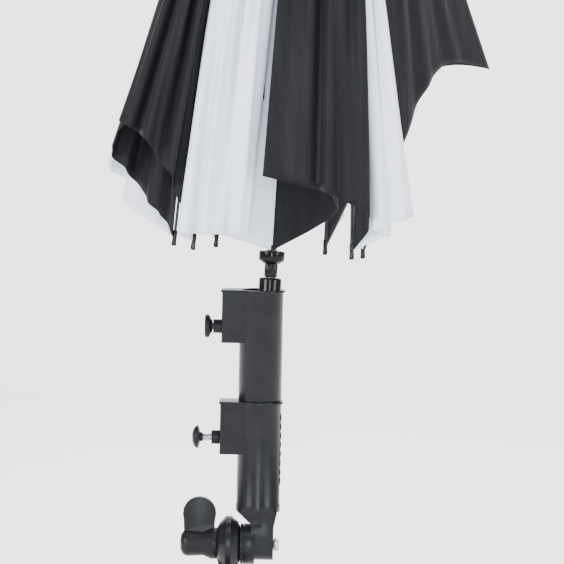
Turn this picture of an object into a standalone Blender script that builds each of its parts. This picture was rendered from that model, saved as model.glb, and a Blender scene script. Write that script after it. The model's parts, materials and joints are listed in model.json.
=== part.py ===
"""A straight eight-rib umbrella standing closed in a two-piece telescoping trolley holder.

Run it in Blender: it clears the scene and builds one object for each separate piece.
+X is right, -Y faces the front and +Z is up. The origin is the centre of the trolley tube
that the holder's clamp grips. Everything is in metres.
"""

from math import asin, cos, degrees, pi, radians, sin, sqrt, tan

import bmesh
import bpy
from mathutils import Matrix, Vector

# ---- driving dimensions ----------------------------------------------------------------
GAP = 0.0003  # between pieces that touch
RUNNING = 0.0003  # radial clearance of whatever slides or turns

# trolley clamp
TROLLEY_R = 0.014  # the trolley tube that the clamp grips
LINER_WALL = 0.002
CLAMP_WIDTH = 0.024
CLAMP_WALL = 0.010
JAW_TRAVEL = 0.012
JAW_LENGTH = 0.0075
CLAMP_SCREW_R = 0.0039
CLAMP_KNOB_R = 0.0165
CLAMP_KNOB_LENGTH = 0.015

# tilt joint
TILT_HEIGHT = 0.075  # tilt axis above the trolley tube's centre
TILT_DISC_R = 0.029
TILT_RIM = 0.0095  # width of the tilt joint's cheek at its rim
NECK_DEPTH = 0.030
HUB_R = 0.0213
HUB_WIDTH = 0.0086
WASHER_WALL = 0.003
BOLT_R = 0.004
LEG_WIDTH = 0.0226
WING_R = 0.049  # from the tilt axis to the top of the knob's blade

# holder tubes
TUBE_R = 0.0225
TUBE_BORE_R = 0.0202
TUBE_STEPS = 44
SPIGOT_CLEARANCE = 0.0004
LOWER_BORE_R = 0.0199
SPIGOT_WALL = 0.0028
LOWER_RIM_HEIGHT = 0.111
LOWER_TUBE_LENGTH = 0.115
UPPER_TUBE_LENGTH = 0.116
FLOOR_WALL = 0.003
SPIGOT_LENGTH = 0.106
FLANGE_WALL = 0.0025
FLANGE_LIP = 0.0012
FLANGE_RIM = 0.002  # how far the flange stands out from the round tube
BOX_REACH = 0.041  # from the tube's axis to the clamp box's outer face
BOX_DEPTH = 0.0316
BOX_HEIGHT = 0.055
SCREW_DROP = 0.039  # from a tube's top to its thumb screw's axis
RIDGE_COUNT = 8
RIDGE_PITCH = 0.0095
RIDGE_HEIGHT = 0.001

# thumb screws
SCREW_R = 0.0034
BUSH_R = 0.0073
BUSH_STANDS = 0.0088  # how far a bush stands out of its box
STEM_IN_HEAD = 0.004
LOWER_THREAD_SEEN = 0.0090  # between the bush and the thumb screw's head, tightened
UPPER_THREAD_SEEN = 0.0008
PAD_WIDTH = 0.016
PAD_HEIGHT = 0.018
PAD_LENGTH = 0.0145
PAD_TRAVEL = 0.005
SOCKET_DEPTH = 0.004
HEAD_R = 0.012
SCREW_PITCH = 0.002

# umbrella
LEAN = radians(2.5)  # the umbrella's lean in its holder
HANDLE_R = 0.0117
HANDLE_LENGTH = 0.122
HANDLE_OFFSET = 0.0082  # of the umbrella's axis from the tube's axis, at the tube's top
HANDLE_STANDS = 0.0125  # how far the handle rises out of the tube
SHAFT_R = 0.005
COLLAR_R = 0.0068
COLLAR_LENGTH = 0.0135
CUP_R = 0.0135
CUP_BORE_R = 0.0126
CUP_HEIGHT = 0.013
RIB_LENGTH = 0.72
RIB_WIDTH = 0.0036
RIB_DEPTH = 0.003
RIB_BOW = 0.018
ROOT_OFFSET = 0.009  # the rib's line lies this far outside the line through the crown's centre
ROOT_START = 0.012
TIP_R = 0.002
TIP_LENGTH = 0.009
TIP_OVERLAP = 0.0078  # how far the front and back rib tips reach below the cup's rim
CROWN_R = 0.014
CROWN_CORE_R = 0.0071
SLOT_WIDTH = 0.0042
CAP_R = 0.020
FERRULE_LENGTH = 0.066
FERRULE_R = 0.0068
RIB_COUNT = 8
RIB_AZIMUTHS = [270 + 360 / RIB_COUNT * i for i in range(RIB_COUNT)]  # the front rib is first
TIP_RADII = [0.010, 0.113, 0.094, 0.079, 0.010, 0.085, 0.102, 0.112]
OPEN_ANGLE = radians(70)  # of every rib from straight down, with the canopy open

# runner and stretchers
JOINT_ALONG_RIB = 0.33
JOINT_BELOW_RIB = 0.0045
STRETCHER_LENGTH = 0.32
STRETCHER_WIDTH = 0.0018
STRETCHER_DEPTH = 0.0026
RUNNER_PIN_R = 0.0115
RUNNER_R = 0.0139
RUNNER_RING = 0.020
RUNNER_SLEEVE = 0.042
RUNNER_SLEEVE_R = 0.0085
CATCH_RISE = 0.0015
CATCH_LENGTH = 0.012
CATCH_WIDTH = 0.0024

# Canopy: one gore from each rib to the next, folded once. For each gore: the fold's place across it
# as a fraction from its first rib, the fold's azimuth and angle from straight down when closed, and
# the turns of its first and second wall about the fold, counted from the direction of their own rib.
GORE_FOLDS = [
    (0.46, 262.5, 9.4, 81, 48),
    (0.50, 333, 12.6, -78, 42),
    (0.50, 42, 31.0, -48, 100),
    (0.50, 68, 17.0, -90, 60),
    (0.50, 112, 17.0, -60, 93),
    (0.50, 160, 16.5, -75, 81),
    (0.50, 205, 16.0, -60, 90),
    (0.50, 247, 6.5, -54, -174),
]
HEM_SCALLOP = 0.045
CLOTH_SOLID = 0.0016  # thickness of a canopy panel's plain solid at the hem
CLOTH_CLEARANCE = 0.0055  # between a rib's line and the edge of the plain panel beside it
CLOTH_PARTING = 0.009  # further clearance there at the hem, where neighbours leave one rib together
CLOTH_ABOVE_RIB = 0.0024
CLOTH_START = 0.30  # where the plain panels start, as a fraction of the rib's length

# ---- derived places --------------------------------------------------------------------
LINER_R = TROLLEY_R + GAP + LINER_WALL
TUBE_X = CLAMP_WIDTH / 2 + GAP + WASHER_WALL + GAP + HUB_WIDTH / 2 + 0.0101
LOWER_TOP = LOWER_RIM_HEIGHT + LOWER_TUBE_LENGTH
UPPER_BOTTOM = LOWER_TOP + GAP
UPPER_TOP = UPPER_BOTTOM + UPPER_TUBE_LENGTH
SPIGOT_R = LOWER_BORE_R - SPIGOT_CLEARANCE
LOWER_SCREW_Z = LOWER_TOP - SCREW_DROP
UPPER_SCREW_Z = UPPER_TOP - SCREW_DROP
AXIS = Vector((sin(LEAN), 0, cos(LEAN)))  # along the umbrella's shaft
HANDLE_TOP = Vector((TUBE_X + HANDLE_OFFSET, 0, UPPER_TOP)) + AXIS * (HANDLE_STANDS / cos(LEAN))
COLLAR_BASE = GAP * 3
CUP_BASE = COLLAR_BASE + COLLAR_LENGTH + GAP
CUP_TOP = CUP_BASE + CUP_HEIGHT
CROWN_ABOVE_HANDLE = CUP_TOP - TIP_OVERLAP + TIP_LENGTH + RIB_LENGTH
CROWN = HANDLE_TOP + AXIS * CROWN_ABOVE_HANDLE
TO_UMBRELLA = Matrix.Translation(CROWN) @ Matrix.Rotation(LEAN, 4, "Y")  # crown's centre at the origin

BLACK = ((0.035, 0.036, 0.040), 0.45, 0.0)
RUBBER = ((0.02, 0.02, 0.022), 0.8, 0.0)
STEEL = ((0.55, 0.56, 0.58), 0.3, 1.0)
DARK_STEEL = ((0.10, 0.10, 0.11), 0.35, 0.9)
BLACK_CLOTH = ((0.025, 0.025, 0.03), 0.85, 0.0)
WHITE_CLOTH = ((0.75, 0.78, 0.84), 0.8, 0.0)


# ---- helpers ---------------------------------------------------------------------------
def finish_of(kind):
    colour, roughness, metallic = kind
    name = "finish_" + "_".join(f"{round(value * 1000):03d}" for value in (*colour, roughness))
    material = bpy.data.materials.get(name)
    if material is None:
        material = bpy.data.materials.new(name)
        material.use_nodes = True
        shader = material.node_tree.nodes["Principled BSDF"]
        shader.inputs["Base Color"].default_value = (*colour, 1)
        shader.inputs["Roughness"].default_value = roughness
        shader.inputs["Metallic"].default_value = metallic
    return material


def place(shape, name, finish, origin=(0, 0, 0), parent=None):
    """Make an object from a bmesh drawn in world coordinates, with its origin at the given point."""
    bmesh.ops.recalc_face_normals(shape, faces=shape.faces)
    bmesh.ops.translate(shape, verts=shape.verts, vec=-Vector(origin))
    mesh = bpy.data.meshes.new(name)
    shape.to_mesh(mesh)
    shape.free()
    mesh.shade_smooth()
    mesh.set_sharp_from_angle(angle=radians(35))
    piece = bpy.data.objects.new(name, mesh)
    bpy.context.scene.collection.objects.link(piece)
    piece.location = origin
    if finish is not None:
        mesh.materials.append(finish_of(finish))
    if parent is not None:
        piece.parent = parent
        piece.location = Vector(origin) - world_place(parent)
    return piece


def world_place(thing):
    """Where an object's origin is; no object here is turned, so places add up along the parents."""
    return thing.location + (world_place(thing.parent) if thing.parent else Vector())


def empty(name, origin):
    marker = bpy.data.objects.new(name, None)
    marker.empty_display_size = 0.02
    marker.location = origin
    bpy.context.scene.collection.objects.link(marker)
    return marker


def turned(profile, frame, segments=24):
    """Turn a closed outline of (radius, height) points about the frame's Z axis."""
    shape = bmesh.new()
    verts = [shape.verts.new((r, 0, z)) for r, z in profile]
    edges = [shape.edges.new((a, b)) for a, b in zip(verts, verts[1:] + verts[:1])]
    bmesh.ops.spin(shape, geom=verts + edges, axis=(0, 0, 1), cent=(0, 0, 0), angle=2 * pi,
                   steps=segments, use_merge=True)
    bmesh.ops.remove_doubles(shape, verts=shape.verts, dist=1e-6)
    loose = [edge for edge in shape.edges if not edge.link_faces]
    bmesh.ops.delete(shape, geom=loose, context="EDGES")
    bmesh.ops.transform(shape, matrix=frame, verts=shape.verts)
    return shape


def prism(outline, low, high, frame):
    """Extrude a closed (x, y) outline from low to high along the frame's Z axis."""
    shape = bmesh.new()
    face = shape.faces.new([shape.verts.new((x, y, low)) for x, y in outline])
    grown = bmesh.ops.extrude_face_region(shape, geom=[face])
    top = [item for item in grown["geom"] if isinstance(item, bmesh.types.BMVert)]
    bmesh.ops.translate(shape, verts=top, vec=(0, 0, high - low))
    bmesh.ops.transform(shape, matrix=frame, verts=shape.verts)
    return shape


def block(low, high):
    x0, y0, z0 = low
    x1, y1, z1 = high
    return prism([(x0, y0), (x1, y0), (x1, y1), (x0, y1)], z0, z1, Matrix())


def arc(centre, radius, start, end, steps):
    """Points of an arc; angles in degrees."""
    turns = [radians(start + (end - start) * k / steps) for k in range(steps + 1)]
    return [(centre[0] + radius * cos(t), centre[1] + radius * sin(t)) for t in turns]


def rounded(x0, y0, x1, y1, radius, steps=3):
    """A rectangle's outline with rounded corners."""
    return (arc((x1 - radius, y0 + radius), radius, -90, 0, steps)
            + arc((x1 - radius, y1 - radius), radius, 0, 90, steps)
            + arc((x0 + radius, y1 - radius), radius, 90, 180, steps)
            + arc((x0 + radius, y0 + radius), radius, 180, 270, steps))


def upright(x, y, z):
    return Matrix.Translation((x, y, z))


def along_x(x, y, z):
    """A frame whose Z axis runs along the world's X."""
    return Matrix.Translation((x, y, z)) @ Matrix.Rotation(pi / 2, 4, "Y")


def along_y(x, y, z):
    """A frame whose Z axis runs along the world's Y, with its X axis along the world's X."""
    return Matrix.Translation((x, y, z)) @ Matrix.Rotation(-pi / 2, 4, "X")


def side_view(x):
    """A frame for outlines drawn in the world's Y and Z, extruded along X."""
    return Matrix(((0, 0, 1, x), (1, 0, 0, 0), (0, 1, 0, 0), (0, 0, 0, 1)))


def front_view(y):
    """A frame for outlines drawn in the world's X and Z, extruded along -Y."""
    return Matrix(((1, 0, 0, 0), (0, 0, -1, y), (0, 1, 0, 0), (0, 0, 0, 1)))


def rod(radius, low, high, frame, segments=20):
    return turned([(0, low), (radius, low), (radius, high), (0, high)], frame, segments)


def tube(outer, inner, low, high, frame, segments=24):
    return turned([(inner, low), (outer, low), (outer, high), (inner, high)], frame, segments)


def combine(piece, shape, operation, label):
    """Cut a shape from a piece, or add it, with a Boolean; the helper is hidden."""
    helper = place(shape, f"{piece.name}_{label}", None)
    helper.hide_render = True
    helper.display_type = "WIRE"
    modifier = piece.modifiers.new(label, "BOOLEAN")
    modifier.operation = operation
    modifier.object = helper
    modifier.solver = "EXACT"


def cut(piece, shape, label):
    combine(piece, shape, "DIFFERENCE", label)


def add(piece, shape, label):
    combine(piece, shape, "UNION", label)


def solve_as_solids(piece):
    """Tubes, boxes and flanges that meet edge on leave slits with the exact solver, so these use the other."""
    for modifier in piece.modifiers:
        modifier.solver = "MANIFOLD"


# ---- trolley clamp ---------------------------------------------------------------------
CHEEK_PROUD = 0.0008  # the tilt disc stands this far proud of the casting on each side
FRAME_HALF = CLAMP_WIDTH / 2 - CHEEK_PROUD
BACK_Y = LINER_R + CLAMP_WALL
FRONT_Y = -(TROLLEY_R + GAP + JAW_LENGTH + JAW_TRAVEL + GAP)
BRIDGE_Z = LINER_R + 0.0135


def make_clamp_frame():
    """A C-shaped casting: a saddle behind the trolley tube, a bridge over it and a screw arm in front."""
    seat = LINER_R + GAP
    outline = (
        [(BACK_Y, -0.019), (BACK_Y, BRIDGE_Z + CLAMP_WALL), (FRONT_Y - CLAMP_WALL, BRIDGE_Z + CLAMP_WALL)]
        + [(FRONT_Y - CLAMP_WALL, -0.013), (FRONT_Y, -0.013), (FRONT_Y, BRIDGE_Z), (0.004, BRIDGE_Z)]
        + arc((0, 0), seat, 76, -76, 14)
        + [(seat * cos(radians(76)) + 0.002, -0.019)]
    )
    frame = place(prism(outline, -FRAME_HALF, FRAME_HALF, side_view(0)), "clamp_frame", BLACK)
    half = FRAME_HALF - CHEEK_PROUD
    neck = block((-half, -NECK_DEPTH / 2, BRIDGE_Z + 0.004), (half, NECK_DEPTH / 2, TILT_HEIGHT - 0.012))
    add(frame, neck, "neck")
    add(frame, tilt_disc(), "tilt_disc")
    cut(frame, rod(BOLT_R + RUNNING, -0.05, 0.05, along_x(0, 0, TILT_HEIGHT)), "bolt_hole")
    cut(frame, rod(CLAMP_SCREW_R + RUNNING, -0.03, 0.03, along_y(0, FRONT_Y, 0)), "screw_hole")
    solve_as_solids(frame)
    return frame


def tilt_disc():
    """The round cheek of the tilt joint, thinner towards its rim."""
    half, rim = CLAMP_WIDTH / 2, TILT_RIM / 2
    profile = [(0, -half + 0.004), (0.012, -half + 0.004), (0.013, -half), (0.0175, -half)]
    profile += [(0.0225, -half + 0.0030), (TILT_DISC_R - 0.0022, -rim), (TILT_DISC_R, -rim + 0.0020)]
    profile += [(TILT_DISC_R, rim - 0.0020), (TILT_DISC_R - 0.0022, rim), (0.0240, half - 0.0024)]
    profile += [(0.0185, half), (0, half)]
    return turned(profile, along_x(0, 0, TILT_HEIGHT), 40)


def make_saddle_liner():
    inner, outer = TROLLEY_R + GAP, LINER_R
    outline = arc((0, 0), outer, 72, -72, 14) + arc((0, 0), inner, -72, 72, 14)
    return place(prism(outline, -FRAME_HALF, FRAME_HALF, side_view(0)), "saddle_liner", RUBBER)


def make_clamp_jaw():
    face = -(TROLLEY_R + GAP)
    outline = rounded(-0.011, -0.0115, 0.011, 0.0115, 0.003)
    jaw = place(prism(outline, face - JAW_LENGTH, face, along_y(0, 0, 0)), "clamp_jaw", RUBBER,
                (0, face, 0))
    cut(jaw, rod(CLAMP_SCREW_R + RUNNING, face - JAW_LENGTH - 0.001, face - JAW_LENGTH + SOCKET_DEPTH,
                 along_y(0, 0, 0)), "socket")
    return jaw


def make_clamp_screw():
    tip = -(TROLLEY_R + GAP + JAW_LENGTH) + SOCKET_DEPTH - GAP
    outer = FRONT_Y - CLAMP_WALL - JAW_TRAVEL - 0.004
    pivot = empty("clamp_screw_axis", (0, outer, 0))
    place(rod(CLAMP_SCREW_R, outer - CLAMP_KNOB_LENGTH + 0.003, tip, along_y(0, 0, 0)), "clamp_screw",
          STEEL, (0, outer, 0), pivot)
    knob = place(lobed(CLAMP_KNOB_R, 6, outer - CLAMP_KNOB_LENGTH, outer, along_y(0, 0, 0)),
                 "clamp_knob", BLACK, (0, outer, 0), pivot)
    cut(knob, rod(CLAMP_SCREW_R + GAP, outer - CLAMP_KNOB_LENGTH + 0.0025, outer + 0.001,
                  along_y(0, 0, 0)), "bore")


def lobed(radius, lobes, low, high, frame):
    """A hand knob's outline: a circle with a shallow wave round it."""
    steps = lobes * 6
    points = []
    for k in range(steps):
        turn = 2 * pi * k / steps
        reach = radius * (0.93 + 0.07 * cos(lobes * turn))
        points.append((reach * cos(turn), reach * sin(turn)))
    return prism(points, low, high, frame)


# ---- tilt joint ------------------------------------------------------------------------
HUB_LEFT = CLAMP_WIDTH / 2 + GAP + WASHER_WALL + GAP
LEG_LEFT = HUB_LEFT + HUB_WIDTH
LEG_RIGHT = LEG_LEFT + LEG_WIDTH
KNOB_RIGHT = -CLAMP_WIDTH / 2 - GAP
KNOB_LENGTH = 0.038


def make_serrated_washer():
    low = CLAMP_WIDTH / 2 + GAP
    steps = 48
    outline = [((HUB_R - 0.0008 * (k % 2)) * cos(2 * pi * k / steps),
                (HUB_R - 0.0008 * (k % 2)) * sin(2 * pi * k / steps)) for k in range(steps)]
    washer = place(prism(outline, low, low + WASHER_WALL, along_x(0, 0, TILT_HEIGHT)),
                   "serrated_washer", DARK_STEEL, (low, 0, TILT_HEIGHT))
    cut(washer, rod(BOLT_R + RUNNING, low - 0.001, low + WASHER_WALL + 0.001,
                    along_x(0, 0, TILT_HEIGHT)), "bore")


def make_tilt_bolt():
    head = LEG_RIGHT + GAP
    outline = [(0.0072 * cos(radians(60 * k)), 0.0072 * sin(radians(60 * k))) for k in range(6)]
    bolt = place(prism(outline, head, head + 0.0055, along_x(0, 0, TILT_HEIGHT)), "tilt_bolt", STEEL,
                 (head, 0, TILT_HEIGHT))
    add(bolt, rod(BOLT_R, KNOB_RIGHT - KNOB_LENGTH + 0.006, head + 0.002,
                  along_x(0, 0, TILT_HEIGHT)), "shank")


def make_tilt_knob():
    """A domed boss with one broad thumb blade standing up from it."""
    right = KNOB_RIGHT
    profile = [(0, 0), (0.0165, 0), (0.0165, 0.006), (0.013, 0.014)]
    profile += arc((0.006, KNOB_LENGTH - 0.008), 0.008, 0, 90, 4) + [(0, KNOB_LENGTH)]
    frame = Matrix.Translation((right, 0, TILT_HEIGHT)) @ Matrix.Rotation(-pi / 2, 4, "Y")
    knob = place(turned(profile, frame, 28), "tilt_knob", BLACK, (right, 0, TILT_HEIGHT))
    blade = [(right - 0.0045, TILT_HEIGHT - 0.010)]
    blade += arc((right - 0.0185, TILT_HEIGHT + WING_R - 0.0175), 0.0175, -20, 200, 12)
    blade += [(right - 0.0345, TILT_HEIGHT + 0.014), (right - 0.036, TILT_HEIGHT - 0.010)]
    blade_shape = prism(blade, -0.004, 0.004, front_view(0))
    add(knob, blade_shape, "blade")
    cut(knob, rod(BOLT_R + RUNNING, right - KNOB_LENGTH + 0.0055, right + 0.001,
                  along_x(0, 0, TILT_HEIGHT)), "bolt_hole")


# ---- holder tubes ----------------------------------------------------------------------
def clamp_box(top, outline_x):
    """The screw's box on the tube's left side, rounded on its outer edges and closed by the flange."""
    half = BOX_DEPTH / 2
    outline = rounded(TUBE_X - BOX_REACH, -half, outline_x, half, 0.003)
    return prism(outline, top - BOX_HEIGHT, top - FLANGE_WALL / 3, Matrix())


def flange(top):
    """The thin rim round the tube and its box, as one plate."""
    half, radius, corner = BOX_DEPTH / 2 + FLANGE_LIP, TUBE_R + FLANGE_RIM, 0.003
    side = 180 - degrees(asin(half / radius))
    left = TUBE_X - BOX_REACH - FLANGE_LIP
    outline = arc((TUBE_X, 0), radius, -side, side, 32)
    outline += arc((left + corner, half - corner), corner, 90, 180, 3)
    outline += arc((left + corner, corner - half), corner, 180, 270, 3)
    return prism(outline, top - FLANGE_WALL, top, Matrix())


def box_cuts(piece, top, pad_face, bore):
    """The pad's window through the tube's wall, the bush's hole, and the bore itself."""
    axis = top - SCREW_DROP
    back = pad_face - PAD_LENGTH - PAD_TRAVEL - 0.001
    half_w, half_h = PAD_WIDTH / 2 + RUNNING, PAD_HEIGHT / 2 + RUNNING
    front = TUBE_X - bore * 0.6
    cut(piece, block((back, -half_w, axis - half_h), (front, half_w, axis + half_h)), "pad_window")
    cut(piece, rod(BUSH_R + GAP, TUBE_X - BOX_REACH - 0.01, back + 0.001, along_x(0, 0, axis), 32),
        "bush_hole")
    return back


def make_lower_tube():
    rim = LOWER_RIM_HEIGHT
    axis = upright(TUBE_X, 0, 0)
    # the pivot end's outline: rim, sloping sides and a round end about the tilt axis
    body = place(rod(TUBE_R, rim, LOWER_TOP - FLANGE_WALL / 2, axis, TUBE_STEPS), "lower_tube", BLACK,
                 (HUB_LEFT, 0, TILT_HEIGHT))
    leg = [(LEG_RIGHT, TILT_HEIGHT), (LEG_RIGHT, rim - 0.016), (TUBE_X + 0.0205, rim + 0.001),
           (TUBE_X - TUBE_R + 0.001, rim + 0.001), (LEG_LEFT - 0.0015, rim - 0.0125), (LEG_LEFT, TILT_HEIGHT)]
    leg_shape = prism(leg, -0.0165, 0.0165, front_view(0))
    add(body, leg_shape, "leg")
    add(body, rod(0.0165, LEG_LEFT - 0.0001, LEG_RIGHT, along_x(0, 0, TILT_HEIGHT), 32), "leg_end")
    add(body, rod(HUB_R, HUB_LEFT, LEG_LEFT + 0.003, along_x(0, 0, TILT_HEIGHT), 40), "hub")
    add(body, rod(TUBE_R + 0.0007, rim - 0.0004, rim + 0.007, axis, TUBE_STEPS), "rim_bead")
    add(body, ridge_strip(), "ridges")
    add(body, clamp_box(LOWER_TOP, TUBE_X - 0.008), "screw_box")
    add(body, flange(LOWER_TOP), "flange")
    cut(body, rod(LOWER_BORE_R, LOWER_TOP - SPIGOT_LENGTH - 0.001, LOWER_TOP + 0.01, axis, TUBE_STEPS), "bore")
    back = box_cuts(body, LOWER_TOP, TUBE_X - SPIGOT_R - GAP, LOWER_BORE_R)
    cut(body, rod(BOLT_R + RUNNING, HUB_LEFT - 0.001, LEG_RIGHT + 0.001, along_x(0, 0, TILT_HEIGHT)),
        "bolt_hole")
    cut(body, block((TUBE_X - 0.009, -0.02, rim - 0.015), (TUBE_X + 0.0035, -0.0145, rim - 0.005)),
        "front_recess")
    solve_as_solids(body)
    return back, body


def ridge_strip():
    """A scalloped grip strip down the tube's right side."""
    high = LOWER_TOP - 0.0125
    steps = RIDGE_COUNT * 4
    edge = []
    for k in range(steps + 1):
        z = high - RIDGE_COUNT * RIDGE_PITCH * k / steps
        swell = RIDGE_HEIGHT * abs(sin(pi * k / 4))
        edge.append((TUBE_X + TUBE_R - 0.0012 + 0.001 + swell, z))
    outline = [(TUBE_X + TUBE_R - 0.0022, high)] + edge
    outline += [(TUBE_X + TUBE_R - 0.0022, edge[-1][1])]
    return prism(outline[::-1], -0.0042, 0.0042, front_view(0))


def make_upper_tube():
    axis = upright(TUBE_X, 0, 0)
    body = place(rod(TUBE_R, UPPER_BOTTOM, UPPER_TOP - FLANGE_WALL / 2, axis, TUBE_STEPS), "upper_tube", BLACK,
                 (TUBE_X, 0, UPPER_BOTTOM))
    spigot_low = LOWER_TOP - SPIGOT_LENGTH
    add(body, rod(SPIGOT_R, spigot_low, UPPER_BOTTOM + 0.002, axis, TUBE_STEPS), "spigot")
    add(body, clamp_box(UPPER_TOP, TUBE_X - 0.008), "screw_box")
    add(body, flange(UPPER_TOP), "flange")
    floor = UPPER_BOTTOM + FLOOR_WALL
    cut(body, rod(TUBE_BORE_R, floor, UPPER_TOP + 0.01, axis, TUBE_STEPS), "socket")
    back = box_cuts(body, UPPER_TOP, upper_pad_face(), TUBE_BORE_R)
    cut(body, rod(SPIGOT_R - SPIGOT_WALL, spigot_low - 0.01, UPPER_BOTTOM - 0.001, axis, 40), "spigot_bore")
    cut(body, rod(0.004, floor - 0.02, floor + 0.01, axis, 16), "drain")
    solve_as_solids(body)
    return back, body


def upper_pad_face():
    """The upper pad's face stands a gap short of the leaning handle at the pad's height."""
    drop = UPPER_TOP - (UPPER_SCREW_Z - PAD_HEIGHT / 2)
    return TUBE_X + HANDLE_OFFSET - drop * tan(LEAN) - HANDLE_R / cos(LEAN) - GAP


def make_screw_set(name, back, pad_face, axis, tube_body, thread_seen, head_profile):
    """A bush in the box, a pressure pad inside the tube, and the thumb screw that drives it."""
    box_face = TUBE_X - BOX_REACH
    bush_low = box_face - BUSH_STANDS
    place(tube(BUSH_R, SCREW_R + RUNNING, bush_low, back - GAP, along_x(0, 0, axis), 32),
          f"{name}_bush", DARK_STEEL, (bush_low, 0, axis), tube_body)
    pad_back = pad_face - PAD_LENGTH
    pad = place(block((pad_back, -PAD_WIDTH / 2, axis - PAD_HEIGHT / 2),
                      (pad_face, PAD_WIDTH / 2, axis + PAD_HEIGHT / 2)), f"{name}_pad", RUBBER,
                (pad_face, 0, axis), tube_body)
    cut(pad, rod(SCREW_R + RUNNING, pad_back - 0.001, pad_back + SOCKET_DEPTH, along_x(0, 0, axis)), "socket")
    head_at = bush_low - thread_seen
    stem_end = -STEM_IN_HEAD
    place(rod(SCREW_R, head_at + stem_end, pad_back + SOCKET_DEPTH - GAP, along_x(0, 0, axis), 20),
          f"{name}_screw", STEEL, (head_at, 0, axis), pad)
    frame = Matrix.Translation((head_at, 0, axis)) @ Matrix.Rotation(-pi / 2, 4, "Y")
    head = place(turned(head_profile, frame, 28), f"{name}_screw_head", BLACK, (head_at, 0, axis), pad)
    cut(head, rod(SCREW_R + GAP, head_at + stem_end - GAP, head_at + 0.001, along_x(0, 0, axis), 20), "stem_hole")


def dished_head():
    """The upper head: a flared neck and a disc with a hollow in its outer face."""
    return [(0, 0), (0.0066, 0), (0.0070, 0.0012), (0.0100, 0.0026), (HEAD_R, 0.0034), (HEAD_R, 0.0072),
            (HEAD_R - 0.0009, 0.008), (HEAD_R - 0.0025, 0.0078), (0.006, 0.0062), (0, 0.0058)]


def domed_head():
    """The lower head: a neck and a mushroom dome."""
    dome = [(HEAD_R * cos(radians(a)), 0.0058 + 0.0056 * sin(radians(a))) for a in (0, 22, 45, 68)]
    return [(0, 0), (0.0046, 0), (0.0050, 0.0026), (HEAD_R - 0.0022, 0.0040), (HEAD_R, 0.0050)] + dome + [
        (0, 0.0114)]


# ---- umbrella stem ---------------------------------------------------------------------
def up(z):
    """A height above the handle's top, in the umbrella's own frame."""
    return z - CROWN_ABOVE_HANDLE


def make_stem(holder):
    shaft_low, shaft_high = up(-0.055), 0.040
    place(rod(SHAFT_R, shaft_low, shaft_high, TO_UMBRELLA, 24), "shaft", STEEL, CROWN, holder)
    shaft = bpy.data.objects["shaft"]
    low, high = catch_span()
    slot = block((SHAFT_R - 0.003, -CATCH_WIDTH / 2 - RUNNING, low - RUNNING),
                 (SHAFT_R + 0.01, CATCH_WIDTH / 2 + RUNNING, high + RUNNING))
    bmesh.ops.transform(slot, matrix=TO_UMBRELLA, verts=slot.verts)
    cut(shaft, slot, "catch_slot")
    radius = 0.004
    grip = [(0, up(-HANDLE_LENGTH)), (HANDLE_R - radius, up(-HANDLE_LENGTH))]
    grip += arc((HANDLE_R - radius, up(-HANDLE_LENGTH) + radius), radius, -60, 0, 3)
    grip += [(HANDLE_R, up(-0.0012)), (HANDLE_R - 0.0012, up(0)), (SHAFT_R + GAP, up(0)),
             (SHAFT_R + GAP, shaft_low - GAP), (0, shaft_low - GAP)]
    place(turned(grip, TO_UMBRELLA, 32), "handle_grip", BLACK, HANDLE_TOP, holder)
    place(fluted_collar(), "release_collar", DARK_STEEL, HANDLE_TOP, holder)
    place(tip_cup(), "tip_cup", BLACK, HANDLE_TOP, holder)
    make_crown(holder)
    cap = [(SHAFT_R + GAP, 0.0105), (CAP_R - 0.001, 0.0105), (CAP_R, 0.0115), (CAP_R - 0.004, 0.0150),
           (0.009, 0.0180), (SHAFT_R + GAP, 0.0185)]
    place(turned(cap, TO_UMBRELLA, 28), "top_cap", BLACK, CROWN, holder)
    base = 0.0185 + GAP
    tip = base + FERRULE_LENGTH
    ferrule = [(SHAFT_R + GAP, base), (FERRULE_R, base), (FERRULE_R, base + 0.008), (FERRULE_R - 0.0012, base + 0.010),
               (0.0042, tip - 0.006)] + arc((0.0, tip - 0.0042), 0.0042, 0, 67, 3)
    ferrule += [(0, tip), (0, shaft_high + GAP), (SHAFT_R + GAP, shaft_high + GAP)]
    place(turned(ferrule, TO_UMBRELLA, 20), "ferrule", DARK_STEEL, CROWN, holder)


def fluted_collar():
    """A sleeve with fine flutes round it."""
    shape = bmesh.new()
    steps = 32
    rings = []
    for radius, z in ((SHAFT_R + GAP, 0), (COLLAR_R, 0), (COLLAR_R, COLLAR_LENGTH), (SHAFT_R + GAP, COLLAR_LENGTH)):
        ring = []
        for k in range(steps):
            reach = radius - (0.0005 * (k % 2) if radius == COLLAR_R else 0)
            turn = 2 * pi * k / steps
            ring.append(shape.verts.new((reach * cos(turn), reach * sin(turn), up(COLLAR_BASE) + z)))
        rings.append(ring)
    close_rings(shape, rings + rings[:1])
    bmesh.ops.transform(shape, matrix=TO_UMBRELLA, verts=shape.verts)
    return shape


def close_rings(shape, rings):
    """Bridge each ring of points to the next with quads."""
    for first, second in zip(rings, rings[1:]):
        for k in range(len(first)):
            after = (k + 1) % len(first)
            shape.faces.new((first[k], first[after], second[after], second[k]))


def tip_cup():
    """The flared cup that holds the rib tips, on a short neck."""
    base, top = up(CUP_BASE), up(CUP_TOP)
    profile = [(SHAFT_R + GAP, base), (0.0085, base), (0.0108, base + 0.0018), (CUP_R - 0.0006, base + 0.0032),
               (CUP_R, base + 0.0048), (CUP_R, top - 0.0006), (CUP_R - 0.0006, top), (CUP_BORE_R, top),
               (CUP_BORE_R, base + 0.0042), (SHAFT_R + GAP, base + 0.0036)]
    return turned(profile, TO_UMBRELLA, 28)


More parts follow.
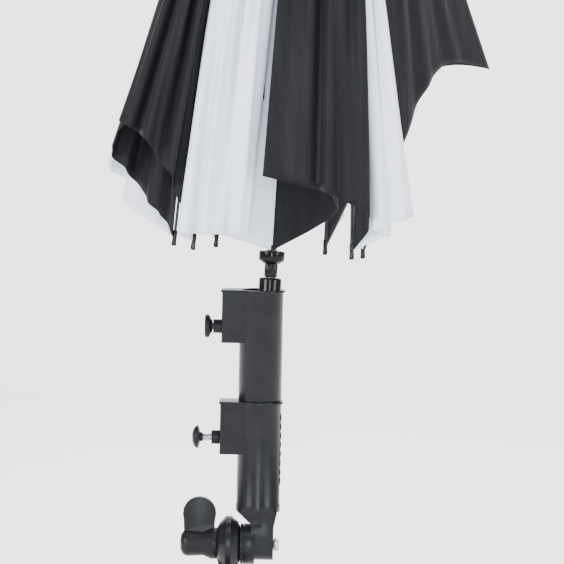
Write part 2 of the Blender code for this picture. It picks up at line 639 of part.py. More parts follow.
def make_crown(holder):
    """The crown's hub, with a slot for each rib's root to swing in."""
    crown = place(turned([(SHAFT_R + GAP, -0.0145), (CROWN_R, -0.0145), (CROWN_R, 0.0095),
                          (SHAFT_R + GAP, 0.0095)], TO_UMBRELLA, 32), "crown", BLACK, CROWN, holder)
    for k, azimuth in enumerate(RIB_AZIMUTHS):
        slot = block((CROWN_CORE_R, -SLOT_WIDTH / 2, -0.02), (0.03, SLOT_WIDTH / 2, 0.008))
        bmesh.ops.transform(slot, matrix=TO_UMBRELLA @ Matrix.Rotation(radians(azimuth), 4, "Z"), verts=slot.verts)
        cut(crown, slot, f"slot_{k}")


# ---- ribs, stretchers and runner -------------------------------------------------------
def outward(azimuth):
    return Vector((cos(radians(azimuth)), sin(radians(azimuth)), 0))


def polar(azimuth, angle):
    """The unit direction at an angle from straight down, in the umbrella's frame."""
    return outward(azimuth) * sin(angle) - Vector((0, 0, cos(angle)))


def rest_angle(rib):
    return asin(TIP_RADII[rib] / RIB_LENGTH)


def rib_offset(share):
    """How far the rib's line bows out from the straight line through the crown's centre."""
    return RIB_BOW * 4 * share * (1 - share) + ROOT_OFFSET * (1 - share)


def rib_frame(rib, angle):
    """Axes of a rib: across it, out from it and along it, with the crown's centre as its origin."""
    azimuth = RIB_AZIMUTHS[rib]
    along = polar(azimuth, angle)
    out = outward(azimuth) * cos(angle) + Vector((0, 0, sin(angle)))
    across = out.cross(along)
    return Matrix((across, out, along)).transposed().to_4x4()


def on_rib(rib, share, angle=None, above=0.0):
    frame = rib_frame(rib, rest_angle(rib) if angle is None else angle)
    return frame @ Vector((0, rib_offset(share) + above, RIB_LENGTH * share))


def bar(stations):
    """A bar lofted through (position along, height, half width, half depth) stations, eight points round."""
    shape = bmesh.new()
    rings = []
    for along, height, half_w, half_d in stations:
        corner_w, corner_d = half_w * 0.55, half_d * 0.55
        ring = [(half_w, -corner_d), (half_w, corner_d), (corner_w, half_d), (-corner_w, half_d),
                (-half_w, corner_d), (-half_w, -corner_d), (-corner_w, -half_d), (corner_w, -half_d)]
        rings.append([shape.verts.new((x, height + y, along)) for x, y in ring])
    close_rings(shape, rings)
    shape.faces.new(rings[0])
    shape.faces.new(rings[-1])
    return shape


def make_rib(rib, holder):
    name = f"rib_{rib + 1}"
    start = ROOT_START / RIB_LENGTH
    steps = 9
    stations = []
    for k in range(steps + 1):
        share = start + (1 - start) * k / steps
        stations.append((RIB_LENGTH * share, rib_offset(share), RIB_WIDTH / 2, RIB_DEPTH / 2))
    stations.append((RIB_LENGTH + 0.0005, 0, 0.0012, 0.0012))
    stations.append((RIB_LENGTH + 0.0015, 0, TIP_R, TIP_R))
    stations.append((RIB_LENGTH + TIP_LENGTH - 0.0012, 0, TIP_R, TIP_R))
    stations.append((RIB_LENGTH + TIP_LENGTH, 0, TIP_R * 0.6, TIP_R * 0.6))
    frame = TO_UMBRELLA @ rib_frame(rib, rest_angle(rib))
    shape = bar(stations)
    bmesh.ops.transform(shape, matrix=frame, verts=shape.verts)
    piece = place(shape, name, DARK_STEEL, CROWN, holder)
    share = JOINT_ALONG_RIB / RIB_LENGTH
    height = rib_offset(share)
    for side in (-1, 1):
        inner = side * (STRETCHER_WIDTH / 2 + RUNNING)
        low, high = sorted((inner, side * (STRETCHER_WIDTH / 2 + RUNNING + 0.0008)))
        ear = block((low, height - JOINT_BELOW_RIB - 0.002, JOINT_ALONG_RIB - 0.004),
                    (high, height, JOINT_ALONG_RIB + 0.004))
        bmesh.ops.transform(ear, matrix=frame, verts=ear.verts)
        add(piece, ear, "left_ear" if side < 0 else "right_ear")
    return piece


def in_rib_plane(rib, angle):
    """The stretcher's joint on a rib as (distance from the shaft's axis, height)."""
    share = JOINT_ALONG_RIB / RIB_LENGTH
    low = rib_offset(share) - JOINT_BELOW_RIB
    return (JOINT_ALONG_RIB * sin(angle) + low * cos(angle), -JOINT_ALONG_RIB * cos(angle) + low * sin(angle))


def runner_end(rib, angle):
    """Height of a stretcher's inner end on the runner's pin circle."""
    r, z = in_rib_plane(rib, angle)
    return z - sqrt(STRETCHER_LENGTH ** 2 - (r - RUNNER_PIN_R) ** 2)


def make_stretcher(rib, piece):
    """A flat bar from the rib's joint to the runner."""
    r, z = in_rib_plane(rib, rest_angle(rib))
    end = runner_end(rib, rest_angle(rib))
    lean = asin((r - RUNNER_PIN_R) / STRETCHER_LENGTH)
    frame = Matrix.Translation(outward(RIB_AZIMUTHS[rib]) * RUNNER_PIN_R + Vector((0, 0, end)))
    azimuth = Matrix.Rotation(radians(RIB_AZIMUTHS[rib]), 4, "Z")
    tilt = Matrix.Rotation(lean, 4, "Y")
    half_w, half_d = STRETCHER_WIDTH / 2, STRETCHER_DEPTH / 2
    stations = [(-0.0012, 0, half_w, half_d * 0.6), (0.0005, 0, half_w, half_d),
                (STRETCHER_LENGTH - 0.0005, 0, half_w, half_d), (STRETCHER_LENGTH + 0.0012, 0, half_w, half_d * 0.6)]
    shape = bar(stations)
    quarter = Matrix.Rotation(-pi / 2, 4, "Z")  # the bar's depth lies in the rib's plane
    bmesh.ops.transform(shape, matrix=TO_UMBRELLA @ frame @ azimuth @ tilt @ quarter, verts=shape.verts)
    pivot = TO_UMBRELLA @ (outward(RIB_AZIMUTHS[rib]) * r + Vector((0, 0, z)))
    place(shape, f"stretcher_{rib + 1}", DARK_STEEL, pivot, piece)


def runner_rest():
    """Height of the runner's ring centre at rest: halfway between its lowest and highest stretcher ends."""
    ends = [runner_end(rib, rest_angle(rib)) for rib in range(RIB_COUNT)]
    return (min(ends) + max(ends)) / 2


def runner_travel():
    return runner_end(0, OPEN_ANGLE) - max(runner_end(rib, rest_angle(rib)) for rib in range(RIB_COUNT))


def make_runner(holder):
    centre = runner_rest()
    low, high = centre - RUNNER_RING / 2, centre + RUNNER_RING / 2
    profile = [(SHAFT_R + RUNNING, low - RUNNER_SLEEVE), (RUNNER_SLEEVE_R, low - RUNNER_SLEEVE),
               (RUNNER_SLEEVE_R, low), (RUNNER_R, low), (RUNNER_R, high), (SHAFT_R + RUNNING, high)]
    runner = place(turned(profile, TO_UMBRELLA, 32), "runner", BLACK, TO_UMBRELLA @ Vector((0, 0, centre)), holder)
    for k, azimuth in enumerate(RIB_AZIMUTHS):
        half = STRETCHER_WIDTH / 2 + 0.0005
        slot = block((RUNNER_SLEEVE_R + GAP, -half, low - 0.01), (0.03, half, high + 0.01))
        bmesh.ops.transform(slot, matrix=TO_UMBRELLA @ Matrix.Rotation(radians(azimuth), 4, "Z"), verts=slot.verts)
        cut(runner, slot, f"slot_{k}")
    half = CATCH_WIDTH / 2 + RUNNING
    keyway = block((0, -half, low - RUNNER_SLEEVE - 0.01), (SHAFT_R + CATCH_RISE + RUNNING, half, high + 0.01))
    turn = Matrix.Rotation(radians(CATCH_AZIMUTH), 4, "Z")
    bmesh.ops.transform(keyway, matrix=TO_UMBRELLA @ turn, verts=keyway.verts)
    cut(runner, keyway, "keyway")


CATCH_AZIMUTH = 0.0


def catch_span():
    """The top catch sits just under the runner's sleeve when the canopy is open."""
    runner_open_low = runner_rest() + runner_travel() - RUNNER_RING / 2 - RUNNER_SLEEVE
    return runner_open_low - 0.002 - CATCH_LENGTH, runner_open_low - 0.002


def make_top_catch(holder):
    low, high = catch_span()
    half = CATCH_WIDTH / 2
    outline = [(SHAFT_R - 0.0012, low), (SHAFT_R + CATCH_RISE, high - 0.0035), (SHAFT_R + CATCH_RISE, high),
               (SHAFT_R - 0.0012, high)]
    shape = prism(outline, -half, half, front_view(0))
    bmesh.ops.transform(shape, matrix=TO_UMBRELLA, verts=shape.verts)
    place(shape, "top_catch", STEEL, TO_UMBRELLA @ Vector((SHAFT_R, 0, high)), holder)


# ---- canopy ----------------------------------------------------------------------------
def fold_share(gore):
    return GORE_FOLDS[gore][0]


def fold_rest(gore):
    """The fold's direction from the crown's centre, closed."""
    _, azimuth, angle, *_ = GORE_FOLDS[gore]
    return polar(azimuth, radians(angle))


def hem(across):
    """The hem's distance from the crown as a share of the rib's length, across a gore."""
    return 1 - HEM_SCALLOP * (1 - (2 * across - 1) ** 2)


def on_open_chord(gore, across):
    """The point on the open canopy's hem chord, without the rib's bow."""
    first = polar(RIB_AZIMUTHS[gore], OPEN_ANGLE)
    second = polar(RIB_AZIMUTHS[(gore + 1) % RIB_COUNT], OPEN_ANGLE)
    return (first * (1 - across) + second * across) * (RIB_LENGTH * hem(across))


def fold_reach(gore):
    return on_open_chord(gore, fold_share(gore)).length


def panel_rib(gore, side):
    return gore if side == "a" else (gore + 1) % RIB_COUNT


def axes_about(fold, towards, turn=0.0):
    """Axes with the fold's line first and a wall's direction away from it second."""
    away = (towards - fold * towards.dot(fold)).normalized()
    away = Matrix.Rotation(radians(turn), 3, fold) @ away
    return Matrix((fold, away, fold.cross(away))).transposed()


def panel_turn(gore, side):
    """How a panel's outer edge turns on its rib as the canopy opens, as (axis, angle).

    The fold's line goes to its place on the open canopy, and the wall beside it comes to lie
    towards its own rib. Taking out the rib's own swing leaves the panel's turn on the rib.
    """
    rib = panel_rib(gore, side)
    roll = GORE_FOLDS[gore][3 if side == "a" else 4]
    azimuth, closed = RIB_AZIMUTHS[rib], rest_angle(rib)
    at_rest = axes_about(fold_rest(gore), polar(azimuth, closed), roll)
    opened = axes_about(on_open_chord(gore, fold_share(gore)).normalized(), polar(azimuth, OPEN_ANGLE))
    swing = Matrix.Rotation(OPEN_ANGLE - closed, 3, rib_axis(rib))
    turn = (swing.transposed() @ opened @ at_rest.transposed()).to_quaternion()
    return turn.to_axis_angle()


def rib_axis(rib):
    """A rib swings up about this axis through the crown's centre."""
    return outward(RIB_AZIMUTHS[rib]).cross(Vector((0, 0, 1)))


def make_panel(gore, side, holder):
    """Half a gore as a plain thin solid, straight across from its rib to its fold."""
    rib = panel_rib(gore, side)
    name = f"canopy_{gore + 1}{side}"
    share = fold_share(gore) if side == "a" else 1 - fold_share(gore)
    fold = fold_rest(gore) * fold_reach(gore)
    shape = bmesh.new()
    rows, columns = 5, 3
    outer, inner = [], []
    for k in range(rows + 1):
        along = CLOTH_START + (0.985 - CLOTH_START) * k / rows
        start = (CLOTH_CLEARANCE + CLOTH_PARTING * along) / (fold * along - on_rib(rib, along)).length
        points = []
        for step in range(columns + 1):
            u = start + (0.93 - start) * step / columns
            part_way = share * u if side == "a" else 1 - share * u
            dropped = along * hem(part_way)
            rib_side = on_rib(rib, dropped, above=RIB_DEPTH / 2 + CLOTH_ABOVE_RIB)
            points.append(rib_side * (1 - u) + fold * (dropped / hem(fold_share(gore))) * u)
        normal = (points[-1] - points[0]).cross(fold).normalized()
        thick = normal * (CLOTH_SOLID * along / 2)
        outer.append([shape.verts.new(p + thick) for p in points])
        inner.append([shape.verts.new(p - thick) for p in points])
    skin(shape, outer, inner)
    bmesh.ops.transform(shape, matrix=TO_UMBRELLA, verts=shape.verts)
    hinge = empty(f"{name}_axis", CROWN)
    axis, _ = panel_turn(gore, side)
    hinge.rotation_mode = "QUATERNION"
    hinge.rotation_quaternion = (TO_UMBRELLA.to_3x3() @ axis).to_track_quat("Z", "Y")
    place(shape, name, BLACK_CLOTH if gore % 2 == 0 else WHITE_CLOTH, CROWN, holder)


def skin(shape, outer, inner):
    """Close two grids of points into one thin solid."""
    rows, columns = len(outer), len(outer[0])
    for i in range(rows - 1):
        for j in range(columns - 1):
            shape.faces.new((outer[i][j], outer[i][j + 1], outer[i + 1][j + 1], outer[i + 1][j]))
            shape.faces.new((inner[i][j], inner[i + 1][j], inner[i + 1][j + 1], inner[i][j + 1]))
        for j in (0, columns - 1):
            shape.faces.new((outer[i][j], outer[i + 1][j], inner[i + 1][j], inner[i][j]))
    for j in range(columns - 1):
        for i in (0, rows - 1):
            shape.faces.new((outer[i][j], outer[i][j + 1], inner[i][j + 1], inner[i][j]))


# ---- build -----------------------------------------------------------------------------
def build():
    for thing in list(bpy.data.objects):
        bpy.data.objects.remove(thing, do_unlink=True)
    make_clamp_frame()
    make_saddle_liner()
    make_clamp_jaw()
    make_clamp_screw()
    make_serrated_washer()
    make_tilt_bolt()
    make_tilt_knob()
    back, lower = make_lower_tube()
    make_screw_set("lower", back, TUBE_X - SPIGOT_R - GAP, LOWER_SCREW_Z, lower, LOWER_THREAD_SEEN,
                   domed_head())
    back, upper = make_upper_tube()
    make_screw_set("upper", back, upper_pad_face(), UPPER_SCREW_Z, upper, UPPER_THREAD_SEEN, dished_head())
    umbrella = empty("umbrella_axis", HANDLE_TOP)
    make_stem(umbrella)
    make_runner(umbrella)
    make_top_catch(umbrella)
    for rib in range(RIB_COUNT):
        make_stretcher(rib, make_rib(rib, umbrella))
    for gore in range(RIB_COUNT):
        for side in "ab":
            make_panel(gore, side, umbrella)


build()
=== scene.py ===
# %% [markdown]
# # A closed umbrella in a trolley holder
# This lesson dresses a finished engineering model: a straight umbrella with eight black and white
# cloth panels, standing loosely closed in a telescoping plastic holder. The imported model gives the
# place and the motion of every piece. Here each piece gets the surface that a person would see.

import json
from math import atan2, cos, pi, radians, sin

import bpy
import numpy as np
from mathutils import Matrix, Vector


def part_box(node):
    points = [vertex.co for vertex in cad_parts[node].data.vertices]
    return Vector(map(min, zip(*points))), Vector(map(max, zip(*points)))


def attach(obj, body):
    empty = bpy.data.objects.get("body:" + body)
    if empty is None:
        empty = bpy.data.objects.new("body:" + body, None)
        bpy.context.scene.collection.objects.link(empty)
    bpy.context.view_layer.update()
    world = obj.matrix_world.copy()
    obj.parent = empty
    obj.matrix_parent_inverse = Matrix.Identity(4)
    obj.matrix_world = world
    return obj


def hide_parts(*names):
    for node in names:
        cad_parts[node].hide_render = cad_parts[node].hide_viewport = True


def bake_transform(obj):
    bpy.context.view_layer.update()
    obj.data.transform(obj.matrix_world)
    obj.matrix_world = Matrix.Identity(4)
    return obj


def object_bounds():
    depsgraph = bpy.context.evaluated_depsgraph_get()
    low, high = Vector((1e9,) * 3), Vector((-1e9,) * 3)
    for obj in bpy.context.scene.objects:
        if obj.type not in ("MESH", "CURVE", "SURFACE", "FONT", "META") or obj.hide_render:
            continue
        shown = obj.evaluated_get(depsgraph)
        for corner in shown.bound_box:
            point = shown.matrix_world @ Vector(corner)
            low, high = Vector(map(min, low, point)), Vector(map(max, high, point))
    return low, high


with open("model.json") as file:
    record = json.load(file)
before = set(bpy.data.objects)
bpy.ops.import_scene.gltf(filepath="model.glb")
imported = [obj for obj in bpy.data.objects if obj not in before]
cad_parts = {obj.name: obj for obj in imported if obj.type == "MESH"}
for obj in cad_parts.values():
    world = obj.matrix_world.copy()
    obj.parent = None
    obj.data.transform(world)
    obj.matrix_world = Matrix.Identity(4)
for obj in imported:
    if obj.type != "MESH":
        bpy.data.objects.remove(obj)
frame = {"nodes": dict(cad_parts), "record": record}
cad_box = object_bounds()
record = frame["record"]
joints = {joint["name"]: joint for joint in record["behaviour"]["joints"]}

# %% [markdown]
# ## Sizes shared with the frame
# The frame knows where pieces are, but not why. The few sizes below are the umbrella's own: how long
# a rib is, how it bows, and how far it swings. Everything else is read from the joints, because the
# axis of a rib's hinge also says which way the rib points.

# %% The umbrella's sizes
RIB_LENGTH = 0.72
RIB_BOW = 0.018
ROOT_OFFSET = 0.009
RIB_DEPTH = 0.003
OPEN_ANGLE = radians(70)
RIB_COUNT = 8

shaft_axis = Vector(joints["canopy_opening"]["axis"])
crown_centre = Vector(joints["rib_1_swing"]["pos_m"])
lean = atan2(shaft_axis.x, shaft_axis.z)
to_world = Matrix.Translation(crown_centre) @ Matrix.Rotation(lean, 4, "Y")
turn_to_umbrella = to_world.to_3x3().transposed()

tube_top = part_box("upper_tube")[1].z
tube_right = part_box("upper_tube")[1].x
FLANGE_RIM = 0.002
TUBE_R = 0.0225
TUBE_X = tube_right - TUBE_R - FLANGE_RIM
print("crown centre:", tuple(round(v, 4) for v in crown_centre), "tube axis x:", round(TUBE_X, 4))

# %% [markdown]
# ## Small workshop of helpers
# Operators act on whatever is selected, and the loaded nodes start out selected. So every helper
# clears the selection first. A finished piece has its transforms applied, so that its mesh alone
# says where it is.


# %% Selecting, applying and freezing
def only(piece):
    bpy.ops.object.select_all(action="DESELECT")
    piece.select_set(True)
    bpy.context.view_layer.objects.active = piece
    return piece


def apply_modifiers(piece):
    only(piece)
    for modifier in list(piece.modifiers):
        bpy.ops.object.modifier_apply(modifier=modifier.name)
    return piece


def named(name):
    piece = bpy.context.object
    piece.name = name
    piece.data.name = name
    return piece


def freeze(piece):
    only(piece)
    bpy.ops.object.transform_apply(location=True, rotation=True, scale=True)
    return piece


def tidy_normals(piece):
    only(piece)
    bpy.ops.object.mode_set(mode="EDIT")
    bpy.ops.mesh.select_all(action="SELECT")
    bpy.ops.mesh.remove_doubles(threshold=1e-6)
    bpy.ops.mesh.normals_make_consistent(inside=False)
    bpy.ops.object.mode_set(mode="OBJECT")
    return piece


def smooth(piece, angle=35):
    only(piece)
    bpy.ops.object.shade_smooth_by_angle(angle=radians(angle))
    return piece


def soften(piece, width, segments=2, limit=35):
    """Round the sharp edges, as moulded plastic and turned metal have them."""
    bevel = piece.modifiers.new("soft edges", "BEVEL")
    bevel.width = width
    bevel.segments = segments
    bevel.limit_method = "ANGLE"
    bevel.angle_limit = radians(limit)
    bevel.use_clamp_overlap = True
    bevel.harden_normals = False
    apply_modifiers(piece)
    return smooth(piece)


# %% Turned shapes
def turned(name, profile, plane, steps=64):
    """Spin a closed outline of (radius, height) points about the plane's Z axis."""
    bpy.ops.object.select_all(action="DESELECT")
    bpy.ops.mesh.primitive_circle_add(vertices=len(profile), radius=1, fill_type="NOTHING")
    piece = named(name)
    for vertex, (radius, height) in zip(piece.data.vertices, profile):
        vertex.co = (radius, 0, height)
    bpy.ops.object.mode_set(mode="EDIT")
    bpy.ops.mesh.select_all(action="SELECT")
    bpy.ops.mesh.spin(steps=steps, angle=2 * pi, center=(0, 0, 0), axis=(0, 0, 1))
    bpy.ops.object.mode_set(mode="OBJECT")
    piece.matrix_world = plane
    freeze(piece)
    tidy_normals(piece)
    drop_loose(piece)
    return piece


def drop_loose(piece):
    only(piece)
    bpy.ops.object.mode_set(mode="EDIT")
    bpy.ops.mesh.select_all(action="SELECT")
    bpy.ops.mesh.dissolve_degenerate(threshold=1e-7)
    bpy.ops.mesh.delete_loose(use_verts=True, use_edges=True, use_faces=False)
    bpy.ops.object.mode_set(mode="OBJECT")


def arc(x, y, radius, start, end, steps=6):
    turns = [radians(start + (end - start) * k / steps) for k in range(steps + 1)]
    return [(x + radius * cos(t), y + radius * sin(t)) for t in turns]


# %% [markdown]
# ## Materials
# There are three plastics, from satin to glossy, then rubber, three steels, and black and white
# cloth. Each is a small node tree. The noise scales are chosen
# in metres: the grain of moulded plastic is well under a millimetre, and creases in cloth run for
# centimetres along the rib and only millimetres across it.


# %% A node tree helper
class Finish:
    """A material under construction: nodes are added by type and wired by socket names."""

    def __init__(self, name, colour, roughness, metallic=0.0):
        self.material = bpy.data.materials.new(name)
        self.material.use_nodes = True
        self.tree = self.material.node_tree
        self.shader = self.tree.nodes["Principled BSDF"]
        self.shader.inputs["Base Color"].default_value = (*colour, 1)
        self.shader.inputs["Roughness"].default_value = roughness
        self.shader.inputs["Metallic"].default_value = metallic

    def node(self, kind, **settings):
        made = self.tree.nodes.new(kind)
        for key, value in settings.items():
            if hasattr(made, key):
                setattr(made, key, value)
            else:
                made.inputs[key.replace("_", " ")].default_value = value
        return made

    def wire(self, source, target):
        self.tree.links.new(source, target)

    def noise(self, scale, detail=3.0, stretch=None, source="Object"):
        coords = self.node("ShaderNodeTexCoord")
        output = coords.outputs[source]
        if stretch is not None:
            mapping = self.node("ShaderNodeMapping")
            mapping.inputs["Scale"].default_value = stretch
            self.wire(output, mapping.inputs["Vector"])
            output = mapping.outputs["Vector"]
        texture = self.node("ShaderNodeTexNoise", Scale=scale, Detail=detail)
        self.wire(output, texture.inputs["Vector"])
        return texture.outputs["Fac"]

    def ramp(self, factor, low, high, start=0.3, end=0.7):
        ramp = self.node("ShaderNodeValToRGB")
        ramp.color_ramp.elements[0].position = start
        ramp.color_ramp.elements[1].position = end
        ramp.color_ramp.elements[0].color = (*low, 1)
        ramp.color_ramp.elements[1].color = (*high, 1)
        self.wire(factor, ramp.inputs["Fac"])
        return ramp.outputs["Color"]

    def spread(self, factor, low, high):
        """Stretch a 0 to 1 factor to a range of values."""
        spread = self.node("ShaderNodeMapRange")
        spread.inputs["From Min"].default_value = 0.3
        spread.inputs["From Max"].default_value = 0.7
        spread.inputs["To Min"].default_value = low
        spread.inputs["To Max"].default_value = high
        self.wire(factor, spread.inputs["Value"])
        return spread.outputs["Result"]

    def bump(self, height, distance, strength=1.0, over=None):
        bump = self.node("ShaderNodeBump", Strength=strength, Distance=distance)
        self.wire(height, bump.inputs["Height"])
        if over is not None:
            self.wire(over, bump.inputs["Normal"])
        return bump.outputs["Normal"]

    def finish(self, normal=None, colour=None, roughness=None):
        for output, socket in ((normal, "Normal"), (colour, "Base Color"), (roughness, "Roughness")):
            if output is not None:
                self.wire(output, self.shader.inputs[socket])
        return self.material


# %% Moulded plastics
def moulded_plastic(name, dark, light, roughness, grain):
    """Plastic with a fine spark-eroded grain, faint flow marks and slightly uneven gloss."""
    made = Finish(name, dark, roughness)
    made.shader.inputs["Specular IOR Level"].default_value = 0.17
    fine = made.noise(900, 3)
    broad = made.noise(60, 3)
    colour = made.ramp(broad, dark, light)
    gloss = made.spread(broad, roughness - 0.03, roughness + 0.05)
    waves = made.bump(made.noise(70, 2), 0.00005, 0.4)
    return made.finish(made.bump(fine, grain, 0.22, waves), colour, gloss)


holder_plastic = moulded_plastic(
    "holder plastic", (0.0055, 0.0058, 0.0070), (0.0085, 0.0089, 0.0105), 0.32, 0.00004
)
knob_plastic = moulded_plastic(
    "knob plastic", (0.0050, 0.0050, 0.0058), (0.0080, 0.0080, 0.0092), 0.38, 0.00005
)
fitting_plastic = moulded_plastic(
    "fitting plastic", (0.0040, 0.0040, 0.0046), (0.0070, 0.0070, 0.0078), 0.18, 0.00002
)


# %% Rubber and metals
def matt_rubber():
    made = Finish("rubber", (0.018, 0.018, 0.020), 0.8)
    colour = made.ramp(made.noise(90, 4), (0.014, 0.014, 0.016), (0.026, 0.026, 0.028))
    return made.finish(made.bump(made.noise(1500, 3), 0.00008, 0.8), colour)


def metal(name, dark, light, roughness, stretch):
    """Drawn or rolled metal: its scratches run along the stretch that is shortest."""
    made = Finish(name, light, roughness, 1.0)
    streaks = made.noise(300, 4, stretch)
    colour = made.ramp(made.noise(45, 4), dark, light)
    gloss = made.spread(streaks, roughness - 0.08, roughness + 0.12)
    return made.finish(made.bump(streaks, 0.00003, 0.6), colour, gloss)


rubber = matt_rubber()
screw_steel = metal("plated steel", (0.30, 0.31, 0.33), (0.46, 0.47, 0.49), 0.30, (1, 6, 6))
shaft_steel = metal("shaft steel", (0.40, 0.41, 0.43), (0.56, 0.57, 0.60), 0.28, (6, 6, 0.6))
rib_steel = metal("black lacquered steel", (0.018, 0.018, 0.020), (0.035, 0.036, 0.039), 0.30, (6, 6, 0.5))

# %% [markdown]
# Cloth needs more. Its pattern follows the weave and not the world, so it reads a UV map that each
# panel carries: across the cloth from the rib's seam, and along it from the hem, both in metres.
# That gives the weave its threads, the long soft creases their direction, and the hem and the rib
# seam their stitches.


# %% Cloth
def panel_cloth(name, dark, light, sheen, roughness):
    made = Finish(name, light, roughness)
    made.shader.inputs["Sheen Weight"].default_value = sheen
    made.shader.inputs["Sheen Roughness"].default_value = 0.45
    made.shader.inputs["Specular IOR Level"].default_value = 0.12
    creases = made.noise(1.0, 5, (60, 9, 1), "UV")
    crumples = made.noise(1.0, 6, (150, 70, 1), "UV")
    threads = made.noise(1.0, 2, (2600, 900, 1), "UV")
    colour = made.ramp(made.noise(1.0, 4, (25, 7, 1), "UV"), dark, light)
    colour = seam_shade(made, colour)
    normal = made.bump(creases, 0.0030, 0.55)
    normal = made.bump(crumples, 0.0010, 0.45, normal)
    normal = made.bump(threads, 0.00012, 0.6, normal)
    gloss = made.spread(creases, roughness - 0.08, roughness + 0.06)
    return made.finish(normal, colour, gloss)


def band(made, value, centre, half_width):
    """1 within a half width of a value, and 0 elsewhere."""
    compare = made.node("ShaderNodeMath", operation="COMPARE")
    compare.inputs[1].default_value = centre
    compare.inputs[2].default_value = half_width
    made.wire(value, compare.inputs[0])
    return compare.outputs["Value"]


def seam_shade(made, colour):
    """Darken the stitch lines beside the rib and above the hem."""
    coords = made.node("ShaderNodeTexCoord")
    split = made.node("ShaderNodeSeparateXYZ")
    made.wire(coords.outputs["UV"], split.inputs["Vector"])
    near_rib = band(made, split.outputs["X"], 0.0040, 0.0005)
    near_hem = band(made, split.outputs["Y"], 0.0075, 0.0005)
    either = made.node("ShaderNodeMath", operation="MAXIMUM")
    made.wire(near_rib, either.inputs[0])
    made.wire(near_hem, either.inputs[1])
    weaker = made.node("ShaderNodeMath", operation="MULTIPLY")
    weaker.inputs[1].default_value = 0.35
    made.wire(either.outputs["Value"], weaker.inputs[0])
    mix = made.node("ShaderNodeMix", data_type="RGBA", blend_type="MULTIPLY")
    made.wire(weaker.outputs["Value"], mix.inputs["Factor"])
    made.wire(colour, mix.inputs["A"])
    mix.inputs["B"].default_value = (0.45, 0.45, 0.5, 1)
    return mix.outputs["Result"]


black_cloth = panel_cloth("black cloth", (0.0055, 0.0055, 0.0065), (0.0095, 0.0095, 0.0112), 0.03, 0.60)
white_cloth = panel_cloth("white cloth", (0.66, 0.70, 0.79), (0.76, 0.80, 0.87), 0.10, 0.62)


def dress(piece, material):
    piece.data.materials.clear()
    piece.data.materials.append(material)
    return piece


# %% [markdown]
# ## The canopy
# An umbrella's canopy is eight gores. Open, each gore is stretched nearly flat between two ribs.
# Closed, it folds out between them into a flap with two walls. A cloth simulation could drop the
# cloth, but its seams would part in the other poses, and the pleats would never be the same twice.
# So each wall is drawn instead: a curve at one level, from its rib to the fold, as seen from above.
# Cloth hangs in straight lines from the crown, so that one curve gives the whole wall.

# %% Where each gore folds, and how each wall runs to the fold
# For each gore: the fold's place across it, its azimuth and its angle from straight down.
GORE_FOLDS = [
    (0.46, 262.5, 9.4),
    (0.50, 333, 12.6),
    (0.50, 42, 31.0),
    (0.50, 68, 17.0),
    (0.50, 112, 17.0),
    (0.50, 160, 16.5),
    (0.50, 205, 16.0),
    (0.50, 247, 6.5),
]
LEVEL = 0.66  # the curves are drawn this far below the crown
# For each wall: the fold's length from crown to hem, how quickly the hem climbs from the rib's tip
# to it, and the points that the curve passes between the rib and the fold.
WALLS = {
    "1a": (0.650, 1.8, [(0.036, -0.012), (0.060, -0.038), (0.055, -0.078), (0.018, -0.088)]),
    "1b": (0.650, 2.0, [(0.089, -0.087), (0.091, -0.101), (0.056, -0.110), (0.014, -0.104)]),
    "2a": (0.690, 1.5, [(0.106, -0.085), (0.103, -0.100), (0.117, -0.108), (0.130, -0.093)]),
    "2b": (0.690, 2.6, [(0.074, -0.024), (0.088, -0.052), (0.112, -0.028), (0.130, -0.008), (0.139, -0.038)]),
    "3a": (0.600, 3.0, [(0.165, 0.085), (0.235, 0.180)]),
    "3b": (0.600, 2.0, [(0.120, 0.125), (0.215, 0.210)]),
    "4a": (0.640, 1.5, [(0.070, 0.092), (0.108, 0.135), (0.110, 0.180)]),
    "4b": (0.640, 1.5, [(0.010, 0.068), (0.032, 0.130)]),
    "5a": (0.640, 1.5, [(-0.010, 0.068), (-0.032, 0.130)]),
    "5b": (0.640, 1.5, [(-0.070, 0.100), (-0.108, 0.142), (-0.110, 0.186)]),
    "6a": (0.665, 1.3, [(-0.080, 0.085), (-0.120, 0.116), (-0.163, 0.113)]),
    "6b": (0.665, 1.3, [(-0.125, 0.002), (-0.152, 0.014), (-0.142, 0.046), (-0.166, 0.056), (-0.180, 0.034)]),
    "7a": (0.622, 1.0, [(-0.112, -0.034), (-0.136, -0.012), (-0.165, -0.014), (-0.180, -0.042)]),
    "7b": (0.622, 2.4, [(-0.095, -0.088), (-0.128, -0.102), (-0.163, -0.103), (-0.179, -0.091)]),
    "8a": (0.700, 0.7, [(-0.086, -0.0930), (-0.064, -0.0985), (-0.034, -0.0985), (-0.024, -0.0880)]),
    "8b": (0.700, 2.4, [(-0.026, -0.003), (-0.067, -0.015), (-0.080, -0.050), (-0.060, -0.082)]),
}
SLIPPED_GORE = 2
HEM_HOLLOW = 0.052
COLUMNS = 44
ROWS = 72
CLOTH_TOP = 0.030
CLOTH_WALL = 0.0006
ABOVE_RIB = RIB_DEPTH / 2 + 0.0007

across_panel = np.linspace(0, 1, COLUMNS + 1)
down_panel = CLOTH_TOP + (1 - CLOTH_TOP) * np.linspace(0, 1, ROWS + 1)

# %% [markdown]
# The rib's place comes from its hinge, whose axis is level and at right angles to the rib. A rib is
# slightly bowed, so the cloth beside it is lifted off the straight line by the same bow.


# %% Directions from the crown
def rib_axis(rib):
    return np.array(turn_to_umbrella @ Vector(joints[f"rib_{rib + 1}_swing"]["axis"]))


def rib_azimuth(rib):
    x, y, _ = rib_axis(rib)
    return atan2(x, -y)


def rib_swing(rib):
    return radians(joints[f"rib_{rib + 1}_swing"]["range_deg"][1])


def outward(azimuth):
    return np.array([cos(azimuth), sin(azimuth), 0.0])


